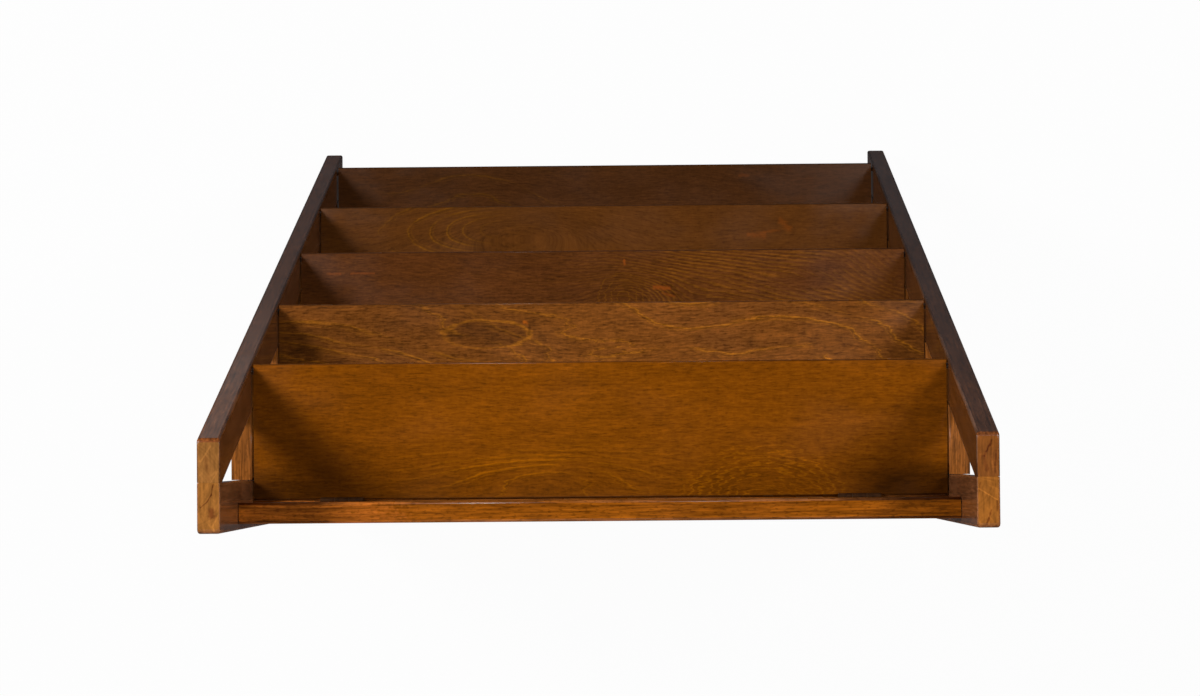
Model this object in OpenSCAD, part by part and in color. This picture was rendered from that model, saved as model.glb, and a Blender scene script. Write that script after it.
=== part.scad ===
// Folding ladder bookcase with raked front posts and five flip-up shelves.
// Millimetres, +Z up, front towards -Y. The origin is on the floor, in the middle of the footprint.
// Shelf 1 is the top shelf and shelf 5 the bottom one. The sign of side is -1 for left, +1 for right.

/* [Overall size] */
// Width over the two side frames
overall_w = 864; // [700:1:1000]
// Height of the posts
overall_h = 1702; // [1660:1:1760]
// Depth from the front feet to the back of the back posts
base_depth = 549; // [520:1:600]
// Depth over both posts at their top ends
top_depth = 102.5; // [95:0.5:112]

/* [Side frame stock] */
// Thickness of the posts and rungs across the bookcase
side_t = 25; // [23:0.5:30]
// Depth of a back post
back_post_d = 55; // [50:1:60]
// Width of a front post, square to its length
front_post_w = 53; // [48:1:58]
// Height of a side rung
rung_h = 45; // [44:1:52]
// Radius of the eased long edges of the solid wood
edge_r = 3; // [1:0.5:4]
// Radius of the back posts' front edges, which meet the front posts
joint_edge_r = 1; // [0.5:0.5:2]
// Radius at the front and back of the post tops
top_end_r = 5; // [3:0.5:7]
// Radius at the left and right of the post tops
top_side_r = 1.5; // [1:0.5:3]

/* [Top rail and shelf slats] */
// Thickness of the rail and slats, front to back
rail_t = 24; // [22:0.5:26]
// Height of the top rail
rail_h = 45; // [40:1:52]
// Height of the slat behind a shelf
slat_h = 45; // [40:1:52]
// Distance of the rail and slats from the back of the back posts
rail_inset = 7; // [4:0.5:8]
// Gap between the tops of the posts and the top of the rail
rail_top_gap = 180; // [160:1:200]
// Shadow gap at each end of the rail and slats
rail_end_gap = 0.6; // [0.3:0.1:0.9]

/* [Shelves] */
// Thickness of a shelf
shelf_t = 18; // [17:0.5:19]
// Height of the bottom shelf's top face above the floor
bottom_shelf_z = 105; // [90:1:120]
// Distance from one shelf to the next
shelf_pitch = 315; // [308:1:318]
// Gap between a shelf's end and the side frame
shelf_end_gap = 1.7; // [1:0.1:3]
// Gap between a shelf's back edge and its slat
shelf_back_gap = 1; // [0.8:0.1:1.2]
// Radius of a shelf's eased long edges
shelf_edge_r = 1.5; // [0.5:0.5:3]

/* [Hinges] */
// Thickness of a hinge leaf
leaf_t = 1.2; // [1:0.1:1.5]
// Outer radius of a hinge knuckle
knuckle_r = 3; // [2.8:0.1:3.3]
// Radius of a hinge pin
hinge_pin_r = 1.25; // [1:0.05:1.4]
// Length of a shelf hinge
shelf_hinge_l = 50; // [40:1:60]
// Height of a shelf hinge's leaf below the shelf's top face
shelf_leaf_w = 14; // [13:0.5:14.5]
// Distance from a shelf's end to the middle of its hinge
shelf_hinge_from_end = 103; // [80:1:160]
// Length of a side frame hinge
frame_hinge_l = 24; // [22:0.5:25]
// Width of a side frame hinge's leaf
frame_leaf_w = 20; // [14:0.5:21]
// Gap between a rung's back end and the back post
frame_hinge_gap = 0.6; // [0.4:0.1:1.8]

/* [Pins, dowels and screws] */
// Radius of the metal pin that a shelf's front rests on
rest_pin_r = 3.5; // [3:0.25:3.75]
// How far a rest pin stands out of the front post
rest_pin_reach = 12; // [8:0.5:16]
// How deep a rest pin goes into the front post
rest_pin_depth = 15; // [10:0.5:18]
// Distance from a shelf's front edge to its rest pin
rest_pin_setback = 8; // [7:0.5:9]
// Height of the rest pin's axis above the shelf's underside
rest_pin_rise = 2.5; // [2:0.5:4]
// Radius of a joint dowel
dowel_r = 4; // [3:0.5:5]
// Length of a joint dowel
dowel_l = 30; // [26:1:34]
// Chamfer at the ends of the dowels and at the free end of a rest pin
rod_chamfer = 0.8; // [0.3:0.1:1.2]
// How deep a rail or slat dowel goes into the back post
dowel_in_post = 12; // [10:0.5:14]
// Height between the two dowels of a joint
dowel_spacing = 20; // [16:1:24]
// Radius of a screw's shank
screw_r = 1.6; // [1.2:0.1:1.8]
// Radius of a screw's flat head
screw_head_r = 2.8; // [2.5:0.1:3]
// Length of a hinge screw
screw_l = 14; // [10:0.5:16]
// Distance from a shelf hinge's end to its nearest screw
shelf_screw_edge = 8; // [6:0.5:9]
// Distance from a side frame hinge's end to its nearest screw
frame_screw_edge = 5; // [4:0.5:6]

/* [Hidden] */
$fn = 48;

// Clearances
glue_gap = 0.05;      // between two wood faces that are glued
bore_gap = 0.05;      // round a dowel, pin or screw in its hole
leaf_gap = 0.3;       // between the closed leaves of a hinge
knuckle_gap = 0.3;    // between a knuckle and what lies beside it
recess_gap = 0.2;     // round a leaf in its recess
notch_gap = 0.3;      // round a rest pin in the shelf's notch
post_top_gap = 0.1;   // between the two posts at their top ends
under_shelf_gap = 1.5; // between a shelf's underside and the side frame hinge below it
hole_spare = 0.5;     // at the blind end of a dowel's hole
over = 1;             // how far a cutter runs past a face

// Side frames
inner_x = overall_w / 2 - side_t;
mid_x = overall_w / 2 - side_t / 2;
back_y = base_depth / 2;
back_post_front_y = back_y - back_post_d;
rake_tan = (base_depth - top_depth) / overall_h;
rake = atan(rake_tan);
front_post_run = front_post_w / cos(rake);
rung_back_y = back_post_front_y - frame_hinge_gap;
function front_y(z) = back_y - top_depth - (overall_h - z) * rake_tan;
function post_rear_y(z) = front_y(z) + front_post_run;

// Rails, slats and shelves
rail_front_y = back_y - rail_inset - rail_t;
rail_mid_y = rail_front_y + rail_t / 2;
rail_half_l = inner_x - rail_end_gap;
rail_z = overall_h - rail_top_gap;
shelf_half_l = inner_x - shelf_end_gap;
shelf_back_y = rail_front_y - shelf_back_gap;
levels = [1 : 5];
function shelf_z(level) = bottom_shelf_z + (5 - level) * shelf_pitch;
function shelf_front_y(level) = front_y(shelf_z(level));

// Hinges
pivot_y = rail_front_y - shelf_back_gap / 2;
pivot_rise = knuckle_r + knuckle_gap;
function pivot_z(level) = shelf_z(level) + pivot_rise;
shelf_hinge_x = shelf_half_l - shelf_hinge_from_end;
shelf_recess = leaf_t + leaf_gap / 2 - shelf_back_gap / 2;
frame_recess = leaf_t + leaf_gap / 2 - frame_hinge_gap / 2;
frame_pivot_x = inner_x - pivot_rise;
frame_pivot_y = back_post_front_y - frame_hinge_gap / 2;
function frame_hinge_z(level) = shelf_z(level) - shelf_t - under_shelf_gap - frame_hinge_l / 2;
shelf_screws = [-shelf_hinge_l / 2 + shelf_screw_edge, 0, shelf_hinge_l / 2 - shelf_screw_edge];
frame_screws = [-frame_hinge_l / 2 + frame_screw_edge, frame_hinge_l / 2 - frame_screw_edge];

// Rest pins and dowels
function rest_pin_y(level) = shelf_front_y(level) + rest_pin_setback;
function rest_pin_z(level) = shelf_z(level) - shelf_t + rest_pin_rise;
dowel_ends = [-dowel_spacing / 2, dowel_spacing / 2];

// Colours
post_brown = [0.36, 0.18, 0.08];
rung_brown = [0.45, 0.23, 0.09];
rail_brown = [0.50, 0.26, 0.09];
shelf_brown = [0.47, 0.24, 0.08];
bronze = [0.32, 0.25, 0.17];
steel = [0.62, 0.62, 0.62];
beech = [0.78, 0.62, 0.42];

// Profiles

// Rectangle from the origin with four round corners, of radius near at y = 0 and far at y = h
module eased_rect(w, h, near, far) {
  union() {
    translate([near, 0]) square([w - 2 * near, h / 2]);
    translate([far, h / 2]) square([w - 2 * far, h / 2]);
    translate([0, near]) square([w, h - near - far]);
    for (x = [near, w - near]) translate([x, near]) circle(near);
    for (x = [far, w - far]) translate([x, h - far]) circle(far);
  }
}

// What is cut off a corner to round it: the corner, its two tangent points and the arc's centre
module corner_waste(corner, tangent_a, centre, tangent_b, r) {
  difference() {
    polygon([corner, tangent_a, centre, tangent_b]);
    translate(centre) circle(r);
  }
}

// Draws a profile in the YZ plane and gives it the thickness w about x = 0
module across(w) {
  rotate([90, 0, 90]) translate([0, 0, -w / 2]) linear_extrude(w) children();
}

// Rounds the left and right edges of a post's top, over the depth of the whole side frame
module rounded_top_slab() {
  translate([0, back_y + over, -over]) rotate([90, 0, 0]) linear_extrude(base_depth + 2 * over)
    translate([-side_t / 2, 0]) union() {
      square([side_t, overall_h + over - top_side_r]);
      translate([top_side_r, 0]) square([side_t - 2 * top_side_r, overall_h + over]);
      for (x = [top_side_r, side_t - top_side_r])
        translate([x, overall_h + over - top_side_r]) circle(top_side_r);
    }
}

// Hinges: the pin lies along X through the origin, and the closed leaves hang down from it.
// The outer leaf is at +Y with the two outer knuckles, and the inner leaf at -Y with the middle one.

module knuckle(length, from, to) {
  translate([from * length, 0, 0]) rotate([0, 90, 0]) cylinder(r = knuckle_r, h = (to - from) * length);
}

module hinge_leaf(length, width, screws, outer) {
  third = 1 / 6;
  slack = knuckle_gap / 2 / length;
  y0 = outer ? leaf_gap / 2 : -leaf_gap / 2 - leaf_t;
  own = outer ? [[-0.5, -third - slack], [third + slack, 0.5]] : [[-third + slack, third - slack]];
  foreign = outer ? [[-third - slack, third + slack]] : [[-0.5, -third + slack], [third - slack, 0.5]];
  difference() {
    union() {
      translate([-length / 2, y0, -pivot_rise - width])
        cube([length, leaf_t, width + pivot_rise - knuckle_r / 2 - hinge_pin_r / 2]);
      for (k = own) knuckle(length, k[0], k[1]);
    }
    for (k = foreign)
      translate([k[0] * length - (k[0] == -0.5 ? over : 0), -knuckle_r - over, -pivot_rise])
        cube([(k[1] - k[0]) * length + (k[0] == -0.5 || k[1] == 0.5 ? over : 0),
              2 * (knuckle_r + over), 2 * pivot_rise]);
    translate([-length / 2 - over, 0, 0]) rotate([0, 90, 0])
      cylinder(r = hinge_pin_r + bore_gap, h = length + 2 * over);
    for (x = screws) translate([x, 0, -pivot_rise - width / 2]) screw_hole(outer ? 1 : -1);
  }
}

module hinge_pin(length) {
  translate([-length / 2, 0, 0]) rotate([0, 90, 0]) cylinder(r = hinge_pin_r, h = length);
}

// A flat-headed screw along Y from the inner face of its leaf, which way is +1 or -1
module screw_shape(way, grow) {
  rotate([-90 * way, 0, 0]) translate([0, 0, leaf_gap / 2]) union() {
    cylinder(r1 = screw_head_r + grow, r2 = screw_r + grow, h = leaf_t);
    cylinder(r = screw_r + grow, h = screw_l + grow);
  }
}

module screw_hole(way) {
  screw_shape(way, bore_gap);
  rotate([-90 * way, 0, 0]) cylinder(r = screw_head_r + bore_gap, h = leaf_gap / 2 + 0.01);
}

module hinge_screws(width, screws, way) {
  for (x = screws) translate([x, 0, -pivot_rise - width / 2]) screw_shape(way, 0);
}

// The recess that lets a leaf into the wood beside it, and the holes for its screws
module leaf_recess(length, width, screws, way, gap, depth) {
  y0 = way > 0 ? gap / 2 - over : -gap / 2 - depth;
  translate([-length / 2 - recess_gap, y0, -pivot_rise - width - recess_gap])
    cube([length + 2 * recess_gap, depth + over, width + recess_gap + pivot_rise]);
  for (x = screws) translate([x, 0, -pivot_rise - width / 2]) screw_shape(way, bore_gap);
}

// A rod along Z from the origin, chamfered at its far end, and at both ends where both is true
module chamfered_rod(r, length, both) {
  start = both ? rod_chamfer : 0;
  if (both) cylinder(r1 = r - rod_chamfer, r2 = r, h = rod_chamfer);
  translate([0, 0, start]) cylinder(r = r, h = length - start - rod_chamfer);
  translate([0, 0, length - rod_chamfer]) cylinder(r1 = r, r2 = r - rod_chamfer, h = rod_chamfer);
}

// Places on the bookcase

module at_shelf_hinges(level) {
  for (x = [-shelf_hinge_x, shelf_hinge_x]) translate([x, pivot_y, pivot_z(level)]) children();
}

module at_frame_hinge(side, level) {
  translate([side * frame_pivot_x, frame_pivot_y, frame_hinge_z(level)])
    rotate([0, -90 * side, 0]) children();
}

// The children are drawn along Z from the pin's blind end towards the shelf
module at_rest_pin(side, level) {
  translate([side * (inner_x + rest_pin_depth), rest_pin_y(level), rest_pin_z(level)])
    rotate([0, -90 * side, 0]) children();
}

// The two dowels of a rail or slat whose top is at z, drawn along Z from their ends in the back post
module at_rail_dowels(side, z, height) {
  for (dz = dowel_ends)
    translate([side * (inner_x + dowel_in_post), rail_mid_y, z - height / 2 + dz])
      rotate([0, -90 * side, 0]) children();
}

// The two dowels of a rung, drawn along Z from their ends in the front post
module at_rung_dowels(side, level) {
  for (dz = dowel_ends) {
    z = shelf_z(level) - rung_h / 2 + dz;
    translate([side * mid_x, post_rear_y(z) - dowel_l / 2, z]) rotate([-90, 0, 0]) children();
  }
}

module dowel() {
  chamfered_rod(dowel_r, dowel_l, true);
}

module dowel_hole() {
  translate([0, 0, -hole_spare]) cylinder(r = dowel_r + bore_gap, h = dowel_l + 2 * hole_spare);
}

module rest_pin() {
  chamfered_rod(rest_pin_r, rest_pin_depth + rest_pin_reach, false);
}

module rest_pin_hole() {
  cylinder(r = rest_pin_r + bore_gap, h = rest_pin_depth + over);
}

// Wooden pieces

module back_post(side) {
  color(post_brown) difference() {
    intersection() {
      translate([side * mid_x - side_t / 2, back_post_front_y, 0])
        linear_extrude(overall_h) eased_rect(side_t, back_post_d, joint_edge_r, edge_r);
      translate([side * mid_x, 0, 0]) rounded_top_slab();
    }
    translate([side * mid_x, 0, 0]) across(side_t + 2 * over)
      corner_waste([back_y + over, overall_h + over], [back_y + over, overall_h - top_end_r],
                   [back_y - top_end_r, overall_h - top_end_r], [back_y - top_end_r, overall_h + over],
                   top_end_r);
    at_rail_dowels(side, rail_z, rail_h) dowel_hole();
    for (level = levels) {
      at_rail_dowels(side, shelf_z(level), slat_h) dowel_hole();
      at_frame_hinge(side, level)
        leaf_recess(frame_hinge_l, frame_leaf_w, frame_screws, 1, frame_hinge_gap, frame_recess);
    }
  }
}

module front_post(side) {
  top_z = overall_h;
  arc_z = top_z - top_end_r;
  arc_y = front_y(arc_z) + top_end_r / cos(rake);
  tangent = [arc_y - top_end_r * cos(rake), arc_z + top_end_r * sin(rake)];
  color(post_brown) difference() {
    intersection() {
      translate([side * mid_x - side_t / 2, front_y(0), 0]) rotate([-rake, 0, 0])
        translate([0, 0, -front_post_w]) linear_extrude(overall_h / cos(rake) + 2 * front_post_w)
          eased_rect(side_t, front_post_w, edge_r, edge_r);
      translate([side * mid_x, 0, 0]) across(side_t + 2 * over)
        polygon([[-base_depth, 0], [back_post_front_y - post_top_gap, 0],
                 [back_post_front_y - post_top_gap, top_z], [-base_depth, top_z]]);
      translate([side * mid_x, 0, 0]) rounded_top_slab();
    }
    translate([side * mid_x, 0, 0]) across(side_t + 2 * over)
      corner_waste([front_y(top_z) - over, top_z + over], [tangent[0] - over, tangent[1]],
                   [arc_y, arc_z], [arc_y, top_z + over], top_end_r);
    for (level = levels) {
      at_rung_dowels(side, level) dowel_hole();
      at_rest_pin(side, level) rest_pin_hole();
    }
  }
}

module rung(side, level) {
  z1 = shelf_z(level);
  z0 = z1 - rung_h;
  front_gap = glue_gap / cos(rake);
  color(rung_brown) difference() {
    intersection() {
      translate([side * mid_x - side_t / 2, rung_back_y, z0]) rotate([90, 0, 0])
        linear_extrude(base_depth) eased_rect(side_t, rung_h, edge_r, edge_r);
      translate([side * mid_x, 0, 0]) across(side_t + 2 * over)
        polygon([[post_rear_y(z0) + front_gap, z0], [rung_back_y, z0],
                 [rung_back_y, z1], [post_rear_y(z1) + front_gap, z1]]);
    }
    at_rung_dowels(side, level) dowel_hole();
    at_frame_hinge(side, level)
      leaf_recess(frame_hinge_l, frame_leaf_w, frame_screws, -1, frame_hinge_gap, frame_recess);
  }
}

// A board between the back posts with its top at z
module cross_board(z, height) {
  difference() {
    translate([0, rail_front_y, z - height])
      across(2 * rail_half_l) eased_rect(rail_t, height, edge_r, edge_r);
    for (side = [-1, 1]) at_rail_dowels(side, z, height) dowel_hole();
  }
}

module top_rail() {
  color(rail_brown) cross_board(rail_z, rail_h);
}

module slat(level) {
  color(rail_brown) difference() {
    cross_board(shelf_z(level), slat_h);
    at_shelf_hinges(level)
      leaf_recess(shelf_hinge_l, shelf_leaf_w, shelf_screws, 1, shelf_back_gap, shelf_recess);
  }
}

module shelf(level) {
  depth = shelf_back_y - shelf_front_y(level);
  notch_r = rest_pin_r + notch_gap;
  notch_l = rest_pin_reach - shelf_end_gap + notch_gap;
  color(shelf_brown) difference() {
    translate([0, shelf_front_y(level), shelf_z(level) - shelf_t])
      across(2 * shelf_half_l) eased_rect(depth, shelf_t, shelf_edge_r, shelf_edge_r);
    for (side = [-1, 1]) translate([side * (shelf_half_l + over), rest_pin_y(level), rest_pin_z(level)])
      rotate([0, -90 * side, 0]) union() {
        cylinder(r = notch_r, h = notch_l + over);
        translate([side < 0 ? 0 : -shelf_t, -notch_r, 0]) cube([shelf_t, 2 * notch_r, notch_l + over]);
      }
    at_shelf_hinges(level)
      leaf_recess(shelf_hinge_l, shelf_leaf_w, shelf_screws, -1, shelf_back_gap, shelf_recess);
  }
}

// Metal pieces

module shelf_leaves(level) {
  color(bronze) at_shelf_hinges(level) hinge_leaf(shelf_hinge_l, shelf_leaf_w, shelf_screws, false);
}

module shelf_screws_of(level) {
  color(steel) at_shelf_hinges(level) hinge_screws(shelf_leaf_w, shelf_screws, -1);
}

module slat_leaves() {
  color(bronze) for (level = levels) at_shelf_hinges(level)
    hinge_leaf(shelf_hinge_l, shelf_leaf_w, shelf_screws, true);
}

module slat_leaf_screws() {
  color(steel) for (level = levels) at_shelf_hinges(level) hinge_screws(shelf_leaf_w, shelf_screws, 1);
}

module shelf_hinge_pins() {
  color(steel) for (level = levels) at_shelf_hinges(level) hinge_pin(shelf_hinge_l);
}

module frame_hinge_leaves(outer) {
  color(bronze) for (side = [-1, 1], level = levels) at_frame_hinge(side, level)
    hinge_leaf(frame_hinge_l, frame_leaf_w, frame_screws, outer);
}

module frame_hinge_pins() {
  color(steel) for (side = [-1, 1], level = levels) at_frame_hinge(side, level) hinge_pin(frame_hinge_l);
}

module frame_hinge_screws() {
  color(steel) for (side = [-1, 1], level = levels, way = [-1, 1]) at_frame_hinge(side, level)
    hinge_screws(frame_leaf_w, frame_screws, way);
}

module shelf_rest_pins() {
  color(steel) for (side = [-1, 1], level = levels) at_rest_pin(side, level) rest_pin();
}

module joint_dowels() {
  color(beech) for (side = [-1, 1]) {
    at_rail_dowels(side, rail_z, rail_h) dowel();
    for (level = levels) {
      at_rail_dowels(side, shelf_z(level), slat_h) dowel();
      at_rung_dowels(side, level) dowel();
    }
  }
}

back_post(-1);  // back_post_left
back_post(1);  // back_post_right
front_post(-1);  // front_post_left
front_post(1);  // front_post_right
rung(-1, 1);  // rung_left_1
rung(-1, 2);  // rung_left_2
rung(-1, 3);  // rung_left_3
rung(-1, 4);  // rung_left_4
rung(-1, 5);  // rung_left_5
rung(1, 1);  // rung_right_1
rung(1, 2);  // rung_right_2
rung(1, 3);  // rung_right_3
rung(1, 4);  // rung_right_4
rung(1, 5);  // rung_right_5
top_rail();
slat(1);  // slat_1
slat(2);  // slat_2
slat(3);  // slat_3
slat(4);  // slat_4
slat(5);  // slat_5
shelf(1);  // shelf_1
shelf(2);  // shelf_2
shelf(3);  // shelf_3
shelf(4);  // shelf_4
shelf(5);  // shelf_5
shelf_leaves(1);  // shelf_leaves_1
shelf_leaves(2);  // shelf_leaves_2
shelf_leaves(3);  // shelf_leaves_3
shelf_leaves(4);  // shelf_leaves_4
shelf_leaves(5);  // shelf_leaves_5
shelf_screws_of(1);  // shelf_screws_1
shelf_screws_of(2);  // shelf_screws_2
shelf_screws_of(3);  // shelf_screws_3
shelf_screws_of(4);  // shelf_screws_4
shelf_screws_of(5);  // shelf_screws_5
slat_leaves();
slat_leaf_screws();
shelf_hinge_pins();
frame_hinge_leaves(true);  // frame_hinge_post_leaves
frame_hinge_leaves(false);  // frame_hinge_rung_leaves
frame_hinge_pins();
frame_hinge_screws();
shelf_rest_pins();
joint_dowels();
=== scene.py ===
"""Looks of a folding ladder bookcase in stained and varnished wood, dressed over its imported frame."""

import math
from collections import namedtuple

import bmesh
import bpy
from bpy.props import FloatProperty, FloatVectorProperty, IntProperty, PointerProperty
from mathutils import Euler, Matrix, Vector


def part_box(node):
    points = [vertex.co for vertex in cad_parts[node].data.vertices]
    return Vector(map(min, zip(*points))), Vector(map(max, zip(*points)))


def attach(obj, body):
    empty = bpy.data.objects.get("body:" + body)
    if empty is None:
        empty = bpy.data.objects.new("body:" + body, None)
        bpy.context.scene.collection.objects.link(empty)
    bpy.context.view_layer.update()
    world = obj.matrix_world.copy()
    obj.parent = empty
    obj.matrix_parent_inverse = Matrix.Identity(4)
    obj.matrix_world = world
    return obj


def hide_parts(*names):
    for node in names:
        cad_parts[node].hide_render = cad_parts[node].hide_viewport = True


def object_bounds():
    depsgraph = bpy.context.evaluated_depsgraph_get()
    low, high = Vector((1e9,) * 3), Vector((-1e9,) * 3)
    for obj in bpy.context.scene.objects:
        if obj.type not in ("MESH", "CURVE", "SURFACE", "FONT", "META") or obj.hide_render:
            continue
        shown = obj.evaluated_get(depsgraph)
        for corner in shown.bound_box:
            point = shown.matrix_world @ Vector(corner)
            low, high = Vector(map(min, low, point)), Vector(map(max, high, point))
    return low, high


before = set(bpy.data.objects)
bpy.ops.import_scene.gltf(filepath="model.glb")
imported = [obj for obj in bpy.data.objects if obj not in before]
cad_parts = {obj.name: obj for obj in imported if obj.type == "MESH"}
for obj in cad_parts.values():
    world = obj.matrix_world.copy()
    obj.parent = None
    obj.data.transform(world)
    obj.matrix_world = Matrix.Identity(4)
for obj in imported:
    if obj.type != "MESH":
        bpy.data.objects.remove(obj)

bl_info = {
    "name": "Folding Ladder Bookcase",
    "version": (1, 0, 0),
    "blender": (4, 5, 0),
    "location": "3D View > Sidebar > Bookcase",
    "description": "Builds the wood, metal and studio of a folding ladder bookcase round its frame",
    "category": "Object",
}

# Places on the frame, in metres. The left side is at -X and the front at -Y.

CAD_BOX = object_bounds()
LEVELS = range(1, 6)
SIDES = {"left": -1, "right": 1}
TOP_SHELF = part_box("shelf_1")
BOTTOM_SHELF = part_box("shelf_5")
BACK_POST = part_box("back_post_right")
FRONT_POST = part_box("front_post_right")
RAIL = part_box("top_rail")
LEAVES = {level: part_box(f"shelf_leaves_{level}") for level in LEVELS}

RAKE_TAN = (TOP_SHELF[0].y - BOTTOM_SHELF[0].y) / (TOP_SHELF[1].z - BOTTOM_SHELF[1].z)
RAKE = math.atan(RAKE_TAN)
SIDE_T = BACK_POST[1].x - BACK_POST[0].x
MID_X = (BACK_POST[1].x + BACK_POST[0].x) / 2
JOINT_Y = BACK_POST[0].y
TOP_Z = BACK_POST[1].z
X_AXIS, Y_AXIS, Z_AXIS = Vector((1, 0, 0)), Vector((0, 1, 0)), Vector((0, 0, 1))
RAKED_AXIS = Vector((0, math.sin(RAKE), math.cos(RAKE)))
RAKED_NORMAL = Vector((0, math.cos(RAKE), -math.sin(RAKE)))
FLAT_NORMALS = (X_AXIS, Y_AXIS, Z_AXIS, RAKED_NORMAL)

# A shelf hinge's leaf, and where a rest notch lies behind a shelf's front edge and above its underside
LEAF_L = 0.050
REST_SETBACK = 0.008
REST_RISE = 0.0025


def front_y(z):
    """The front posts' front face at a height."""
    return TOP_SHELF[0].y + (z - TOP_SHELF[1].z) * RAKE_TAN


# Settings


class BookcaseSizes(bpy.types.PropertyGroup):
    """Sizes of the wood that the frame's boxes don't give."""

    front_post_w: FloatProperty(
        name="Front Post Width", description="Width of a front post, square to its length",
        default=0.053, min=0.04, max=0.06, unit="LENGTH")
    edge_r: FloatProperty(
        name="Edge Radius", description="Radius of the eased long edges of the solid wood",
        default=0.003, min=0.001, max=0.004, unit="LENGTH")
    joint_edge_r: FloatProperty(
        name="Joint Edge Radius", description="Radius of the back posts' front edges, which meet the front posts",
        default=0.001, min=0.0005, max=0.002, unit="LENGTH")
    shelf_edge_r: FloatProperty(
        name="Shelf Edge Radius", description="Radius of the eased long edges of a shelf",
        default=0.0015, min=0.0005, max=0.003, unit="LENGTH")
    top_end_r: FloatProperty(
        name="Post Top End Radius", description="Radius at the front and back of the post tops",
        default=0.005, min=0.003, max=0.007, unit="LENGTH")
    top_side_r: FloatProperty(
        name="Post Top Side Radius", description="Radius at the left and right of the post tops",
        default=0.0015, min=0.001, max=0.003, unit="LENGTH")
    recess_depth: FloatProperty(
        name="Leaf Recess Depth", description="Depth of a hinge leaf's recess in the wood",
        default=0.00085, min=0.0005, max=0.0012, unit="LENGTH")
    recess_gap: FloatProperty(
        name="Leaf Recess Gap", description="Room round a hinge leaf in its recess",
        default=0.0002, min=0.0001, max=0.0005, unit="LENGTH")
    notch_r: FloatProperty(
        name="Rest Notch Radius", description="Radius of the notch that a rest pin sits in",
        default=0.0038, min=0.003, max=0.0045, unit="LENGTH")
    notch_l: FloatProperty(
        name="Rest Notch Length", description="Length of a rest notch from the shelf's end",
        default=0.0106, min=0.006, max=0.016, unit="LENGTH")
    segments: IntProperty(
        name="Edge Segments", description="Faces across each eased edge", default=6, min=2, max=12)


class BookcaseFinish(bpy.types.PropertyGroup):
    """Colours of the stain and the metal."""

    post_brown: FloatVectorProperty(
        name="Post Stain", description="Stain on the faces of the posts",
        default=(0.115, 0.042, 0.0165), subtype="COLOR", min=0, max=1)
    end_gold: FloatVectorProperty(
        name="End Grain", description="Stain on the end grain of the posts",
        default=(0.25, 0.1, 0.021), subtype="COLOR", min=0, max=1)
    rubbed_and_sheen: FloatVectorProperty(
        name="Rubbed Edge", description="Stain worn thin along the edges",
        default=(0.28, 0.1, 0.03), subtype="COLOR", min=0, max=1)
    rung_brown: FloatVectorProperty(
        name="Rung Stain", description="Stain on the rungs",
        default=(0.33, 0.105, 0.018), subtype="COLOR", min=0, max=1)
    rail_brown: FloatVectorProperty(
        name="Rail Stain", description="Stain on the top rail and the slats",
        default=(0.285, 0.077, 0.0038), subtype="COLOR", min=0, max=1)
    shelf_brown: FloatVectorProperty(
        name="Shelf Stain", description="Stain on the veneer of the shelves",
        default=(0.205, 0.056, 0.002), subtype="COLOR", min=0, max=1)
    bronze: FloatVectorProperty(
        name="Hinge Bronze", description="Colour of the hinge leaves",
        default=(0.065, 0.024, 0.007), subtype="COLOR", min=0, max=1)
    steel: FloatVectorProperty(
        name="Steel", description="Colour of the pins and screws",
        default=(0.42, 0.41, 0.39), subtype="COLOR", min=0, max=1)
    beech: FloatVectorProperty(
        name="Dowel Beech", description="Colour of the joint dowels",
        default=(0.56, 0.34, 0.15), subtype="COLOR", min=0, max=1)


class BookcaseStudio(bpy.types.PropertyGroup):
    """Studio light and camera."""

    side_power: FloatProperty(
        name="Side Light", description="Power of the softbox on the right",
        default=34.5, min=0, max=400, unit="POWER")
    far_side_power: FloatProperty(
        name="Far Side Light", description="Power of the softbox on the left",
        default=14.5, min=0, max=400, unit="POWER")
    top_power: FloatProperty(
        name="Top Light", description="Power of the softbox overhead", default=2.2, min=0, max=400, unit="POWER")
    fill_power: FloatProperty(
        name="Fill Lights", description="Power of each low softbox at the sides",
        default=30, min=0, max=400, unit="POWER")
    sky: FloatProperty(
        name="Room Light", description="Strength of the light that comes from all round", default=0.14, min=0, max=1)
    lens: FloatProperty(
        name="Focal Length", description="Focal length of the camera in millimetres", default=108.2, min=20, max=300)
    camera_place: FloatVectorProperty(
        name="Camera Place", description="Where the camera stands",
        default=(-0.0334, 0.1915, 5.583), subtype="TRANSLATION")


# Node trees


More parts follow.
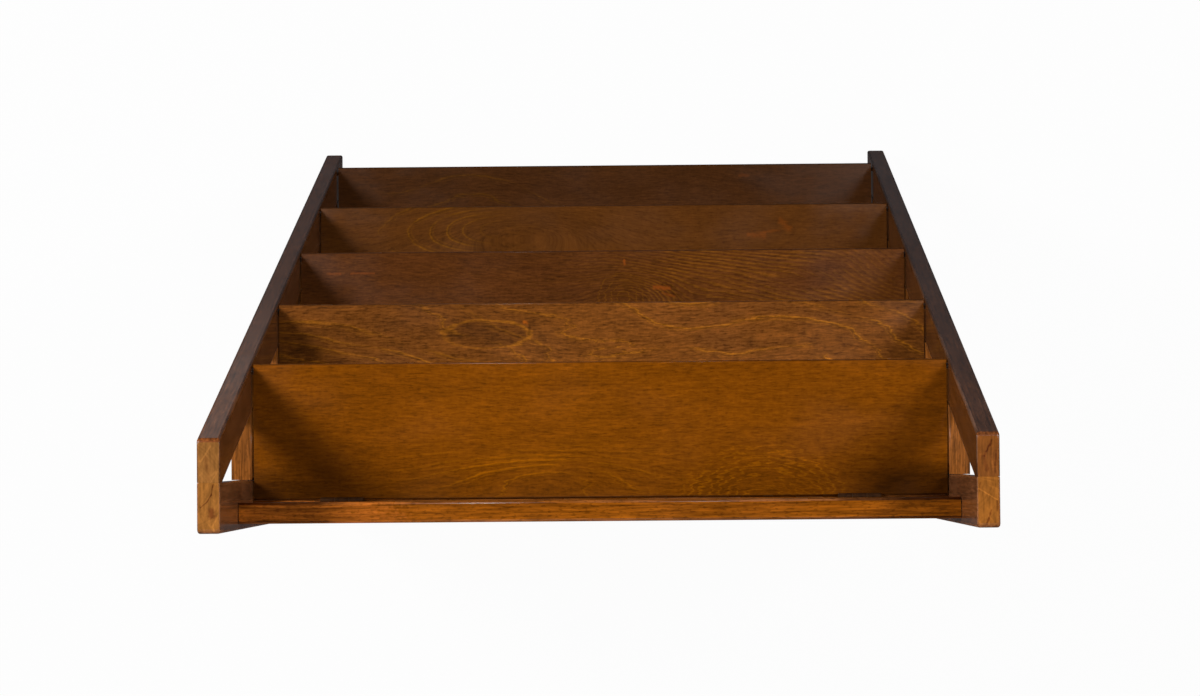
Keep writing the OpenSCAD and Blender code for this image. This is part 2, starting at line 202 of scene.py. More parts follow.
class Signal:
    """An output of a shader node. Calculating with it adds the Math or Vector Math node for it."""

    def __init__(self, nodes, socket):
        self.nodes, self.socket = nodes, socket

    def maths(self, operation, *values):
        return self.nodes.maths(operation, self, *values)

    def __add__(self, other):
        return self.maths("ADD", other)

    def __sub__(self, other):
        return self.maths("SUBTRACT", other)

    def __rsub__(self, other):
        return self.nodes.maths("SUBTRACT", other, self)

    def __mul__(self, other):
        return self.maths("MULTIPLY", other)

    def __truediv__(self, other):
        return self.maths("DIVIDE", other)

    def __abs__(self):
        return self.maths("ABSOLUTE")

    __radd__, __rmul__ = __add__, __mul__

    def clamped(self):
        """Keeps it from 0 to 1, by the Math node that it comes from."""
        self.socket.node.use_clamp = True
        return self

    def ramp(self, low, high, to_low=0.0, to_high=1.0, smooth=True):
        """Takes it from low..high to to_low..to_high."""
        return self.nodes.signal("MapRange", {0: self, 1: low, 2: high, 3: to_low, 4: to_high},
                                 interpolation_type="SMOOTHSTEP" if smooth else "LINEAR")

    def noise(self, stretch, detail=2.0, roughness=0.5, distortion=0.0, output=0):
        """Noise at this place, with so many cells a metre along X, Y and Z, from 0 to 1."""
        return self.nodes.signal("TexNoise", {
            "Vector": self * stretch, "Scale": 1.0, "Detail": detail, "Roughness": roughness,
            "Distortion": distortion}, output)

    def split(self):
        """Its X, Y and Z."""
        return list(self.nodes.signals("SeparateXYZ", {0: self}).values())


class Nodes:
    """Adds nodes to one shader node tree."""

    def __init__(self, tree):
        self.tree = tree

    def fill(self, node, inputs):
        """Gives a node its inputs by name or number: outputs are linked, and plain values are set."""
        for name, value in inputs.items():
            value = getattr(value, "socket", value)
            if isinstance(value, bpy.types.NodeSocket):
                self.tree.links.new(value, node.inputs[name])
            else:
                node.inputs[name].default_value = value
        return node

    def add(self, kind, inputs=None, **settings):
        node = self.tree.nodes.new("ShaderNode" + kind)
        for name, value in settings.items():
            setattr(node, name, value)
        return self.fill(node, inputs or {})

    def signal(self, kind, inputs=None, output=0, **settings):
        """One output of a new node."""
        return Signal(self, self.add(kind, inputs, **settings).outputs[output])

    def signals(self, kind, inputs=None, **settings):
        """All outputs of a new node, by name."""
        return {socket.name: Signal(self, socket) for socket in self.add(kind, inputs, **settings).outputs}

    def group(self, name, inputs):
        """The outputs of a node group placed in the tree with its own values."""
        return self.signals("Group", inputs, node_tree=bpy.data.node_groups[name])

    def maths(self, operation, *values):
        """A Math node, or a Vector Math node if a vector or a colour goes in."""
        inputs = dict(enumerate(values))
        if any(isinstance(v, tuple) or isinstance(v, Signal) and v.socket.type != "VALUE" for v in values):
            output = "Value" if operation in ("LENGTH", "DOT_PRODUCT") else "Vector"
            return self.signal("VectorMath", inputs, output, operation=operation)
        return self.signal("Math", inputs, operation=operation)

    def combine(self, x=0.0, y=0.0, z=0.0):
        return self.signal("CombineXYZ", {0: x, 1: y, 2: z})

    def blend(self, factor, a, b, mode="MIX"):
        return self.signal("Mix", {0: factor, 6: a, 7: b}, 2, data_type="RGBA", blend_type=mode)

    def place(self):
        return self.signal("TexCoord", output="Object")

    def mark(self, name):
        """A mask that mark_faces() has put on the mesh."""
        return self.signal("Attribute", output="Fac", attribute_name=name)

    def give(self, **outputs):
        """Ends a node group with its outputs and what they put out."""
        for label, value in outputs.items():
            kind = "NodeSocketColor" if value.socket.type == "RGBA" else "NodeSocketFloat"
            self.tree.interface.new_socket(label, in_out="OUTPUT", socket_type=kind)
        self.fill(self.tree.nodes.new("NodeGroupOutput"), outputs)


SOCKETS = {1: "NodeSocketFloat", 3: "NodeSocketVector", 4: "NodeSocketColor"}


def new_group(name, defaults):
    """A node group with inputs of these names and defaults: its Nodes, and the inputs by name."""
    tree = bpy.data.node_groups.new(name, "ShaderNodeTree")
    for label, default in defaults.items():
        kind = SOCKETS[len(default) if isinstance(default, tuple) else 1]
        tree.interface.new_socket(label, in_out="INPUT", socket_type=kind).default_value = default
    nodes, given = Nodes(tree), tree.nodes.new("NodeGroupInput")
    return nodes, {label: Signal(nodes, given.outputs[label]) for label in defaults}


def make_board_figure():
    """Growth rings round a pith that lies along X, with rays, fibres, pores and patches of stain."""
    nodes, given = new_group("Board Figure", {"Vector": (0, 0, 0), "Ring Width": 0.0025, "Wander": 0.006})
    vector, wander = given["Vector"], given["Wander"]
    bend = vector.noise((2.6, 22, 22), output=1) - (0.5, 0.5, 0.5)
    bent = vector + bend * nodes.combine(0, wander, wander)
    radius = (bent * (0, 1, 1)).maths("LENGTH")
    turns = radius / given["Ring Width"]
    phase = turns.maths("FRACT")
    late = phase.ramp(0.25, 0.9) * phase.ramp(1.0, 0.93)
    year = nodes.combine(turns.maths("FLOOR")).noise((0.37, 1, 1), 1)
    x, y, z = bent.split()
    polar = nodes.combine(z.maths("ARCTAN2", y), radius, x)
    nodes.give(Rings=late * year.ramp(0.36, 0.68),
               Heart=radius.ramp(0.0085, 0.002),
               Rays=polar.noise((22, 46, 9), 1).ramp(0.58, 0.72),
               Fibre=vector.noise((24, 380, 380), 3, 0.62),
               Pores=vector.noise((150, 430, 430), 1).ramp(0.55, 0.64),
               Patches=vector.noise((7, 26, 26), 3, 0.55, 0.6))


def make_veneer_figure():
    """Peeled veneer along X: contour lines round two hills and an eye of rings, with short fibres."""
    nodes, given = new_group("Veneer Figure", {
        "Vector": (0, 0, 0), "Contours": 16.0, "Slope": (0, 5, 0), "Roll": 0.5, "Spread": 0.5,
        "Hill A": (0, 0, 0), "Hill A Size": (0.1, 0.04, 1), "Hill A Height": 0.3,
        "Hill B": (0, 0, 0), "Hill B Size": (0.1, 0.04, 1), "Hill B Height": 0.3,
        "Eye": (0, 0, 0), "Eye Size": (0.05, 0.02, 1), "Eye Rings": 1.0, "Eye Light": 0.0, "Eye Dark": 0.0})
    vector, contours, eye_rings = given["Vector"], given["Contours"], given["Eye Rings"]

    def mound(point, hill):
        """1 at a hill's middle, falling away smoothly over its size."""
        away = (point - given[hill]) / given[hill + " Size"] * (1, 1, 0)
        return (away.maths("DOT_PRODUCT", away) * -1.0).maths("EXPONENT")

    def relief(point):
        """Height of the peeled layer without its slope."""
        height = point.noise((2.3, 7.5, 1), 2, 0.45, 0.2) * given["Roll"]
        for hill in ("Hill A", "Hill B"):
            height += mound(point, hill) * given[hill + " Height"]
        return height

    # The height here, and how steep it is, by which the lines keep their width where they spread
    swell = relief(vector)
    height = swell + vector.maths("DOT_PRODUCT", given["Slope"])
    step = 0.0012
    rises = []
    for move in ((step, 0, 0), (0, step, 0)):
        beside = vector + move
        rises.append(relief(beside) + beside.maths("DOT_PRODUCT", given["Slope"]) - height)
    steepness = nodes.combine(*rises).maths("LENGTH") / step
    density = (steepness * contours).maths("MAXIMUM", 4.0)

    # Contour lines: a sharp core, a soft edge and a faint echo beside it
    ragged = vector.noise((34, 210, 1), 3, 0.6)
    wavy = height + vector.noise((13, 42, 1)) * 0.03
    count = (wavy + ragged * 0.03) * contours
    phase = count.maths("FRACT")
    after = phase / density
    nearest = after.maths("MINIMUM", (1.0 - phase) / density)
    echo = abs(after - 0.0042).ramp(0.0015, 0.0003)
    lines = nearest.ramp(0.0018, 0.0004) + nearest.ramp(0.0055, 0.0005) * 0.3 + echo * 0.4
    strong = nodes.combine(count.maths("FLOOR")).noise((0.37, 1, 1), 1).ramp(0.3, 0.52, 0.25, 1.0)
    fade = vector.noise((9, 30, 1)).ramp(0.3, 0.5)
    near = (mound(vector, "Hill B") * 1.6 + given["Spread"]).clamped()
    shown = fade * near * strong

    # The eye: rings round a place, and a darker pool inside them
    reach = ((vector - given["Eye"]) / given["Eye Size"] * (1, 1, 0)).maths("LENGTH") + ragged * 0.4 - 0.2
    turn = (reach * eye_rings + 0.5).maths("FRACT")
    rings = abs(turn - 0.5).ramp(eye_rings * 0.014 + 0.115, 0.02)
    rings *= reach.ramp(0.1, 0.25) * reach.ramp(1.2, 1.05) * given["Eye Light"] * (fade * 0.6 + 0.4)
    pool = reach.ramp(1.15, 0.7) * given["Eye Dark"]

    along = vector + nodes.combine(0, swell * 0.06)
    fine, broad = along.noise((62, 400, 400), 3, 0.75), along.noise((22, 150, 150), 3, 0.65, 0.3)
    nodes.give(Lines=(lines * shown).maths("MAXIMUM", rings),
               Shade=after.ramp(0.005, 0.0005) * shown * 0.6 + pool,
               Fibre=fine * 0.65 + broad * 0.35,
               Pores=along.noise((120, 480, 480), 1).ramp(0.56, 0.66),
               Ripple=along.noise((230, 90, 90), 3, 0.6, 0.8),
               Patches=along.noise((6, 22, 22), 4, 0.6, 0.4))


def make_stroke():
    """A soft stroke with ragged edges between two places in the XY plane, such as a ray, a streak or a knot."""
    nodes, given = new_group("Stroke", {
        "Vector": (0, 0, 0), "From": (0, 0, 0), "To": (0, 0, 0), "Width": 0.002})
    vector, width = given["Vector"], given["Width"]
    flat = (vector - given["From"]) * (1, 1, 0)
    run = given["To"] - given["From"]
    part = (flat.maths("DOT_PRODUCT", run) / run.maths("DOT_PRODUCT", run)).clamped()
    ragged = (vector.noise((230, 260, 1)) - 0.5) * width
    away = (flat - run * part).maths("LENGTH") + ragged * 1.6
    nodes.give(Mask=away.ramp(width, 0.0))


def make_stain():
    """Colour of stained wood from its figure: lines glow, and late wood and pores are darker."""
    nodes, given = new_group("Stain", {
        "Stain": (0.2, 0.06, 0.01, 1), "Glow": (0.36, 0.12, 0.02, 1), "Lines": 0.0, "Shade": 0.0, "Fibre": 0.5,
        "Pores": 0.0, "Ripple": 0.5, "Patches": 0.5, "Depth": 1.0})
    depth = given["Depth"]

    def dip(mask, amount):
        """1 where a mask is 0, and less by amount where it is 1."""
        return 1.0 - given[mask] * amount * depth

    def swing(value, amount):
        """From 1 - amount to 1 + amount as a value goes from 0.3 to 0.7."""
        return given[value].ramp(0.3, 0.7, -amount, amount, smooth=False) * depth + 1.0

    tone = (dip("Shade", 0.4).maths("MAXIMUM", 0.27) * dip("Pores", 0.24) * swing("Fibre", 0.55)
            * swing("Ripple", 0.09) * swing("Patches", 0.15))
    colour = nodes.blend((given["Lines"] * 0.7).clamped(), given["Stain"], given["Glow"])
    nodes.give(Color=nodes.blend(1.0, colour, tone, "MULTIPLY"))


def make_varnish():
    """Satin varnish: its gloss varies in patches, and the fibres telegraph through it."""
    nodes, given = new_group("Varnish", {"Vector": (0, 0, 0), "Fibre": 0.5, "Gloss": 0.3})
    haze, orange_peel = given["Vector"].noise((9, 14, 14), 3), given["Vector"].noise((260, 260, 260))
    nodes.give(Roughness=given["Gloss"] + haze.ramp(0.3, 0.7, -0.05, 0.07),
               Height=given["Fibre"] * 0.7 + orange_peel * 0.5)


# Materials


def four(colour, times=1.0):
    """A colour with its alpha, made darker or lighter."""
    return (*(channel * times for channel in colour), 1.0)


def tinted(colour, factors):
    """A colour with a factor on each channel."""
    return [channel * factor for channel, factor in zip(colour, factors)]


def emptied(owner):
    """Empties the node tree of a material or a world: its Nodes."""
    owner.use_nodes = True
    owner.node_tree.nodes.clear()
    return Nodes(owner.node_tree)


def new_material(name):
    """A material with only a Principled BSDF and its output: the material, its Nodes and the BSDF."""
    material = bpy.data.materials.new(name)
    nodes = emptied(material)
    shader = nodes.add("BsdfPrincipled")
    nodes.add("OutputMaterial", {0: shader.outputs[0]})
    return material, nodes, shader


# How the grain of a board is turned to lie along X
GRAIN_TURN = {
    "upright": (0, math.pi / 2, 0),
    "raked": (RAKE, math.pi / 2, 0),
    "deep": (0, 0, -math.pi / 2),
    "wide": (0, 0, 0),
}


def board_space(nodes, grain, pith):
    """Object coordinates turned so that X runs along the grain, measured from a point on the pith."""
    turn = GRAIN_TURN[grain]
    shift = Euler(turn).to_matrix() @ -Vector(pith)
    return nodes.signal("Mapping", {"Vector": nodes.place(), "Location": tuple(shift), "Rotation": turn})


def paint(nodes, vector, strokes):
    """Light and dark of strokes: x and y of both ends, width and amount, which is below 0 for a dark one."""
    light, dark = 0.0, 0.0
    for x0, y0, x1, y1, width, amount in strokes:
        mask = nodes.group("Stroke", {"Vector": vector, "From": (x0, y0, 0), "To": (x1, y1, 0),
                                      "Width": width})["Mask"]
        if amount > 0:
            light = mask * amount + light
        else:
            dark = mask * -amount + dark
    return light, dark


def lacquer(nodes, shader, vector, fibre, arris, bump):
    """Gives the shader the varnish's gloss and surface, duller and without coat on the arrises."""
    varnish = nodes.group("Varnish", {"Vector": vector, "Fibre": fibre, "Gloss": 0.16})
    nodes.fill(shader, {
        "Roughness": arris * 0.12 + varnish["Roughness"], "Specular IOR Level": 0.22,
        "Coat Weight": 0.08 - arris * 0.08, "Coat Roughness": 0.05,
        "Normal": nodes.signal("Bump", {"Strength": bump, "Distance": 0.0003, "Height": varnish["Height"]})})


# How far the rounded front end of a front post's top reaches back and down, with a soft border
NOSE_BACK = (0.0043, 0.0033)
NOSE_DOWN = (0.0042, 0.0034)


def solid_wood(name, colour, end_colour, rubbed_and_sheen_colour, grain, pith, ring, wander, fleck=1.0, strokes=(),
               glow=None, worn=1.0, nose=None):
    """Solid wood with growth rings round its pith, lighter on the end grain and rubbed along the arrises, where a
    stronger or paler rubbed edge is a painted highlight.

    Strokes glow in a colour of their own, or lie on the end grain only. A nose colour goes on the front end of a
    front post's top.
    """
    material, nodes, shader = new_material(name)
    vector, place = board_space(nodes, grain, pith), nodes.place()
    end, arris = nodes.mark("end_grain"), nodes.mark("arris")
    figure = nodes.group("Board Figure", {"Vector": vector, "Ring Width": ring, "Wander": wander})
    base = nodes.blend(end, four(colour), four(end_colour))
    light, dark = paint(nodes, place, strokes)
    if glow is None:
        light *= end
        base = nodes.blend((dark * end).clamped(), base, four(tinted(end_colour, (0.42, 0.27, 0.3))))
    # Lighter arrises: rubbed wear, and a painted highlight where the amount or the colour is raised
    rubbed_and_sheen = arris * figure["Patches"].ramp(0.36, 0.62, 0.1 * worn, 0.42 * worn)
    base = nodes.blend(rubbed_and_sheen, base, four(rubbed_and_sheen_colour))
    if nose:
        _, y, z = place.split()
        at_nose = (y.ramp(*(front_y(TOP_Z) + back for back in NOSE_BACK))
                   * z.ramp(*(TOP_Z - down for down in NOSE_DOWN)))
        base = nodes.blend(at_nose, base, four(nose))
    streaks = place.noise((330, 60, 60), 3, 0.65) * 0.5 + 0.25
    stained = nodes.group("Stain", {
        "Stain": base, "Glow": four(glow) if glow else four(end_colour, 1.6),
        "Lines": figure["Rays"] * end * 0.5 + light,
        "Shade": (figure["Rings"] * (1.0 - end * 0.55)).maths("MAXIMUM", figure["Heart"] * 1.3),
        "Fibre": nodes.signal("Mix", {0: end, 2: figure["Fibre"], 3: streaks}),
        "Pores": figure["Pores"] * (fleck - end * (0.9 * fleck)), "Patches": figure["Patches"]})
    nodes.fill(shader, {"Base Color": stained["Color"]})
    lacquer(nodes, shader, vector, figure["Fibre"], arris, 0.12)
    return material


# One shelf's veneer: factors on the stain, glow of its lines, contour lines a unit of height,
# slope, roll, how far the lines spread, depth of the figure, darker end (x where it starts, x where it is full,
# amount), two hills (x, y, size x, size y, height), an eye (x, y, size x, size y, rings, light, dark) and knots
# for paint()
Figure = namedtuple("Figure", "tone glow contours slope roll spread depth dull hill_a hill_b eye knots")


def veneer(name, stain, figure, shift):
    """Peeled veneer of one shelf, cut from the figure at its own height, with painted shade along the back edge and
    in the back corners.
    """
    material, nodes, shader = new_material(name)
    vector, arris = board_space(nodes, "wide", (0, 0, 0)), nodes.mark("arris")
    colour, corner = tinted(stain, figure.tone), TOP_SHELF[1]
    inputs = {"Vector": vector + (0, 0, shift), "Contours": figure.contours, "Slope": figure.slope,
              "Roll": figure.roll, "Spread": figure.spread}
    for label, (x, y, size_x, size_y, height) in (("Hill A", figure.hill_a), ("Hill B", figure.hill_b)):
        inputs.update({label: (x, y, 0), label + " Size": (size_x, size_y, 1), label + " Height": height})
    x, y, size_x, size_y, rings, light, dark = figure.eye
    pattern = nodes.group("Veneer Figure", {
        **inputs, "Eye": (x, y, 0), "Eye Size": (size_x, size_y, 1), "Eye Rings": rings, "Eye Light": light,
        "Eye Dark": dark})

    x, y, _ = vector.split()
    # Painted shade: darker along each shelf's back edge, most in both back corners and most of all at the left one
    left_end = x.ramp(0.13 - corner.x, 0.05 - corner.x, 0.0, 0.75)
    either_end = abs(x).ramp(corner.x - 0.13, corner.x - 0.03)
    painted_shade_and_dark_marks = ((left_end + either_end) * 1.4 + 0.6) * y.ramp(corner.y - 0.055, corner.y - 0.004)
    dull_from, dull_to, dull = figure.dull
    knots, bruises = paint(nodes, vector, figure.knots)
    # The figure's darker end and its dark knots go on top of the painted shade
    painted_shade_and_dark_marks = painted_shade_and_dark_marks + x.ramp(dull_from, dull_to, 0.0, dull) + bruises
    stained = nodes.group("Stain", {
        **pattern, "Stain": four(colour), "Glow": four(tinted(colour, (1.0, 1.06, 0.5)), figure.glow),
        "Shade": pattern["Shade"] + painted_shade_and_dark_marks, "Depth": figure.depth})["Color"]
    knot_red = four(tinted(colour, (2.2, 1.6, 0.8)))
    stained = nodes.blend(nodes.maths("MINIMUM", knots, 1.0), stained, knot_red)
    nodes.fill(shader, {"Base Color": nodes.blend(arris * 0.5, stained, four(colour, 0.25))})
    lacquer(nodes, shader, vector, pattern["Fibre"], arris, 0.1)
    return material


def metal(name, colour, roughness, patina, bare=1.0):
    """Worn metal: brushed along X, with darker patina in patches, and as much bare metal as bare says."""
    material, nodes, shader = new_material(name)
    place = nodes.place()
    brush, spots = place.noise((60, 2400, 2400), 3, 0.6), place.noise((140, 140, 140), 4, 0.6, 0.4)
    nodes.fill(shader, {
        "Base Color": nodes.blend(spots.ramp(0.42, 0.62), four(colour), four(colour, patina)),
        "Roughness": brush.ramp(0.3, 0.7, -0.06, 0.1) + roughness,
        "Metallic": spots.ramp(0.3, 0.7, bare, bare * 0.88), "Specular IOR Level": 0.5 * bare,
        "Normal": nodes.signal("Bump", {"Strength": 0.2, "Distance": 0.0001, "Height": brush})})
    return material


def bare_beech(name, colour):
    """Unstained beech of the joint dowels, with its fine dark flecks."""
    material, nodes, shader = new_material(name)
    vector = board_space(nodes, "wide", (0, 0, 0))
    figure = nodes.group("Board Figure", {"Vector": vector, "Ring Width": 0.0018, "Wander": 0.003})
    stained = nodes.group("Stain", {
        "Stain": four(colour), "Shade": figure["Rings"], "Fibre": figure["Fibre"], "Pores": figure["Pores"],
        "Patches": figure["Patches"], "Depth": 0.5})
    nodes.fill(shader, {"Base Color": stained["Color"], "Roughness": figure["Fibre"].ramp(0.2, 0.8, 0.5, 0.65)})
    return material


# Making the wood

# How far a cutter runs past the face it cuts, the radius of its edges, and the height of a notch cutter
OVER = 0.002
CUTTER_EDGE_R = 0.0001
NOTCH_CUTTER_H = 0.02


def whole(mesh):
    return [*mesh.verts, *mesh.edges, *mesh.faces]


def bevel(mesh, edges, offset, segments, clamp=False):
    bmesh.ops.bevel(mesh, geom=edges, offset=offset, offset_type="OFFSET", segments=segments, profile=0.5,
                    affect="EDGES", clamp_overlap=clamp, material=-1)


def new_block(low, high):
    mesh = bmesh.new()
    bmesh.ops.create_cube(mesh, size=1.0)
    bmesh.ops.scale(mesh, vec=high - low, verts=mesh.verts)
    bmesh.ops.translate(mesh, vec=(low + high) / 2, verts=mesh.verts)
    return mesh


def new_object(name, mesh):
    """Turns a bmesh into an object of the scene."""
    data = bpy.data.meshes.new(name)
    mesh.to_mesh(data)
    mesh.free()
    made = bpy.data.objects.new(name, data)
    bpy.context.scene.collection.objects.link(made)
    return made


def eased_board(low, high, axis, radius, segments, front_radius=None):
    """A board between two corners, its edges along one axis rounded, at the front by a radius of their own."""
    mesh = new_block(low, high)
    along = [e for e in mesh.edges if abs((e.verts[0].co - e.verts[1].co).normalized()[axis]) > 0.9]
    front = [e for e in along if front_radius and e.verts[0].co.y < (low.y + high.y) / 2]
    others = [e for e in along if e not in front]
    if front:
        bevel(mesh, front, front_radius, segments)
    bevel(mesh, others, radius, segments)
    return mesh


def saw(mesh, point, normal):
    """Cuts off what lies beyond a plane and closes the cut."""
    bmesh.ops.bisect_plane(mesh, geom=whole(mesh), dist=1e-7, plane_co=point, plane_no=normal, clear_outer=True)
    bmesh.ops.holes_fill(mesh, edges=[e for e in mesh.edges if e.is_boundary], sides=0)


def round_top(mesh, sizes, mid_x, end_shift):
    """Rounds the top of a post at its left and right, and at the end that end_shift moves."""
    end_r, side_r = sizes.top_end_r, sizes.top_side_r
    steps = [math.pi / 2 * i / sizes.segments for i in range(sizes.segments)]
    heights = {round(TOP_Z - r * (1 - math.sin(a)), 7) for r in (end_r, side_r) for a in steps}
    for z in sorted(heights):
        bmesh.ops.bisect_plane(mesh, geom=whole(mesh), dist=1e-7, plane_co=(0, 0, z), plane_no=Z_AXIS)
    half = SIDE_T / 2
    for v in mesh.verts:
        up = v.co.z - (TOP_Z - side_r)
        if up > 0:
            inset = side_r - math.sqrt(max(side_r**2 - up**2, 0))
            v.co.x = mid_x + (v.co.x - mid_x) * (half - inset) / half
        if v.co.z > TOP_Z - end_r - 1e-6:
            v.co.y += end_shift(v.co.y, v.co.z)


def finish_piece(mesh, grain, material, node, body, cutters=()):
    """Turns a bmesh into a piece that rides on its body and stands for its CAD node."""
    bmesh.ops.recalc_face_normals(mesh, faces=mesh.faces)
    piece = new_object("wood_" + node, mesh)
    if cutters:
        carve(piece, cutters)
    mark_faces(piece.data, grain)
    piece.data.materials.clear()
    piece.data.materials.append(material)
    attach(piece, body)
    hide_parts(node)


def carve(piece, cutters):
    """Takes the cutters out of the piece and keeps the result as its mesh."""
    joined, passing = bmesh.new(), bpy.data.meshes.new("cutter")
    for cutter in cutters:
        cutter.to_mesh(passing)
        cutter.free()
        joined.from_mesh(passing)
    bmesh.ops.recalc_face_normals(joined, faces=joined.faces)
    tool = new_object("cutters", joined)
    tool_mesh = tool.data
    cut = piece.modifiers.new("recesses", "BOOLEAN")
    cut.operation, cut.solver, cut.object = "DIFFERENCE", "EXACT", tool
    depsgraph = bpy.context.evaluated_depsgraph_get()
    carved = bpy.data.meshes.new_from_object(piece.evaluated_get(depsgraph))
    piece.modifiers.clear()
    plain = piece.data
    piece.data = carved
    bpy.data.objects.remove(tool)
    for spent in (plain, tool_mesh, passing):
        bpy.data.meshes.remove(spent)
    carved.name = piece.name


def mark_faces(data, grain):
    """Shades the rounded edges smooth, and marks them and the end grain for the materials."""
    flat = [max(abs(p.normal.dot(n)) for n in FLAT_NORMALS) > 0.9995 for p in data.polygons]
    ends = [min(max((abs(p.normal.dot(grain)) - 0.8) / 0.16, 0), 1) for p in data.polygons]
    for polygon, is_flat in zip(data.polygons, flat):
        polygon.use_smooth = not is_flat
    for label, values in (("end_grain", ends), ("arris", [0.0 if is_flat else 1.0 for is_flat in flat])):
        attribute = data.attributes.new(label, "FLOAT", "CORNER")
        for polygon in data.polygons:
            for corner in polygon.loop_indices:
                attribute.data[corner].value = values[polygon.index]


def recess_cutters(sizes, level, y_from, y_to):
    """Cutters for the recesses of a shelf's two hinge leaves."""
    low, high = LEAVES[level]
    gap = sizes.recess_gap
    return [eased_board(Vector((x - gap, y_from, low.z - gap)), Vector((x + LEAF_L + gap, y_to, high.z + OVER)), 0,
                        CUTTER_EDGE_R, 1) for x in (low.x, high.x - LEAF_L)]


# Operators


def wood_settings(context):
    return context.scene.bookcase_sizes, context.scene.bookcase_finish


class BOOKCASE_OT_stage(bpy.types.Operator):
    """Make the floor, the soft lights, the room and the camera"""

    bl_idname = "bookcase.stage"
    bl_label = "Build Studio"

    # Each light's place, its size, the setting of its power and a factor on that
    LIGHTS = {
        "softbox_left": ((-1.05, -0.18, 2.97), (0.4, 0.4), "far_side_power", 1.0),
        "softbox_right": ((1.28, -0.31, 2.97), (0.45, 0.45), "side_power", 1.0),
        "softbox_top": ((0.0, 0.75, 2.97), (1.2, 0.4), "top_power", 1.0),
        "fill_left": ((-4.5, 0.0, 0.9), (2.2, 1.6), "fill_power", 1.0),
        "fill_right": ((4.5, 0.0, 0.9), (2.2, 1.6), "fill_power", 1.0),
        "fill_front": ((0.0, -4.3, 0.9), (2.2, 1.6), "fill_power", 0.2),
        "fill_behind": ((0.0, 4.4, 0.9), (2.2, 1.6), "fill_power", 2.0),
    }
    AIM = Vector((0, 0.1, 1.2))

    # Where the camera's right side and its back point
    CAMERA_RIGHT = Vector((-0.99993, 0.00827, -0.00801))
    CAMERA_BACK = Vector((-0.00777, 0.02927, 0.99954))

    # The floor's radius, and how far it lies below the feet
    FLOOR_R = 14.0
    FLOOR_DROP = 0.0005

    # Where the varnish mirrors the floor most: a patch that glows in reflections only, a painted reflection that
    # gives the right front post's front face a sheen
    SHEEN_PATCH = (0.68, -0.85, CAD_BOX[0].z)

    def execute(self, context):
        scene = context.scene
        studio = scene.bookcase_studio
        scene.view_settings.view_transform = "Standard"
        self.camera(scene, studio)
        self.floor()
        self.room(scene, studio)
        for name, (place, size, power, factor) in self.LIGHTS.items():
            light = bpy.data.lights.new(name, "AREA")
            light.shape, light.energy = "RECTANGLE", getattr(studio, power) * factor
            light.size, light.size_y = size
            lamp = bpy.data.objects.new(name, light)
            lamp.location = place
            lamp.visible_camera = False
            lamp.visible_glossy = name.startswith("softbox")
            lamp.rotation_mode = "QUATERNION"
            lamp.rotation_quaternion = (Vector(place) - self.AIM).to_track_quat("Z", "Y")
            scene.collection.objects.link(lamp)
        return {"FINISHED"}

    def camera(self, scene, studio):
        data = bpy.data.cameras.new("camera")
        data.lens, data.sensor_width, data.sensor_fit = studio.lens, 36.0, "HORIZONTAL"
        camera = bpy.data.objects.new("camera", data)
        right = self.CAMERA_RIGHT.normalized()
        back = (self.CAMERA_BACK - right * self.CAMERA_BACK.dot(right)).normalized()
        turn = Matrix((right, back.cross(right), back)).transposed()
        camera.matrix_world = Matrix.Translation(studio.camera_place) @ turn.to_4x4()
        scene.collection.objects.link(camera)
        scene.camera = camera

    def floor(self):
        mesh = bmesh.new()
        bmesh.ops.create_circle(mesh, cap_ends=True, radius=self.FLOOR_R, segments=96)
        bmesh.ops.translate(mesh, vec=(0, 0, CAD_BOX[0].z - self.FLOOR_DROP), verts=mesh.verts)
        floor = new_object("floor", mesh)
        material = bpy.data.materials.new("pale_floor")
        nodes = emptied(material)
        rays = nodes.signals("LightPath")
        camera, glossy = rays["Is Camera Ray"], rays["Is Glossy Ray"]

        # White paper to the camera; where the bookcase stands the camera sees the lit floor in a darker colour, a
        # painted shadow. The varnish mirrors little of the floor, save a patch that glows in reflections only, a
        # painted reflection
        place = nodes.place()
        half = (CAD_BOX[1] - CAD_BOX[0]) / 2
        x, y, _ = abs(place - tuple(CAD_BOX[0] + half)).split()
        beneath = x.ramp(half.x, half.x - 0.03) * y.ramp(half.y - 0.022, half.y - 0.045)
        mirrored = (place - self.SHEEN_PATCH).maths("LENGTH").ramp(0.42, 0.15, 0.035, 0.19)
        clear_view = (camera * (0.97 - beneath * 0.97)).maths("MAXIMUM", glossy * mirrored)
        clear_view = clear_view.maths("MAXIMUM", rays["Is Transmission Ray"])
        bounced = nodes.blend(glossy, (0.25, 0.25, 0.25, 1), (0.1, 0.09, 0.1, 1))
        shaded = nodes.blend(beneath, (0.95, 0.95, 0.95, 1), (0.5, 0.44, 0.4, 1))
        lit = nodes.add("BsdfDiffuse", {"Color": nodes.blend(camera, bounced, shaded)})
        white = nodes.add("Emission", {"Color": (1, 1, 1, 1), "Strength": 1.0})
        both = nodes.add("MixShader", {0: clear_view, 1: lit.outputs[0], 2: white.outputs[0]})
        nodes.add("OutputMaterial", {0: both.outputs[0]})
        floor.data.materials.append(material)

    def room(self, scene, studio):
        """White to the camera, otherwise dim and weaker from above."""
        scene.world = bpy.data.worlds.new("room")
        nodes = emptied(scene.world)
        rays = nodes.signals("LightPath")
        _, _, up = nodes.signal("TexCoord", output="Generated").split()
        ambient = up.ramp(0.0, 0.7, studio.sky, studio.sky * 0.1)
        seen = rays["Is Camera Ray"].maths("MAXIMUM", rays["Is Transmission Ray"])
        background = nodes.add("Background", {"Color": (1, 1, 1, 1), "Strength": ambient.maths("MAXIMUM", seen)})
        nodes.add("OutputWorld", {0: background.outputs[0]})


